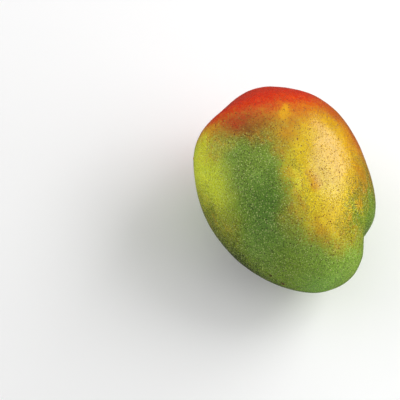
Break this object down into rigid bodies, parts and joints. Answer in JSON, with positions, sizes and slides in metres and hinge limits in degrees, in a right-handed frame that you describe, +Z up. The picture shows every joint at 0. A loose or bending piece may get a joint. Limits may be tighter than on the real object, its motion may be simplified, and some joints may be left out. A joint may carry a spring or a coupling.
{
  "type": "mango",
  "caption": "Whole mango lying on its cheek, egg-shaped and slightly flattened, with a sinus dent above its tip and a short woody stub of stalk in a shallow hollow.",
  "frame": {"origin": "on the surface the fruit lies on, under the middle of its bounding box", "axes": "+Z up, out of the upper cheek; +Y along the fruit towards its stalk, with the tip at -Y; +X towards the belly side, which has the sinus and the beak"},
  "size_m": [0.0906, 0.12, 0.0807],
  "materials": {
    "mango_peel": "smooth waxy peel, red at the stalk end, yellow and orange on the belly side, green elsewhere, with fine pores",
    "stalk_wood": "dry brown woody stalk, broken off short"
  },
  "bodies": {
    "root": {"fruit": "mango_peel", "stem_stub": "stalk_wood"}
  },
  "joints": []
}
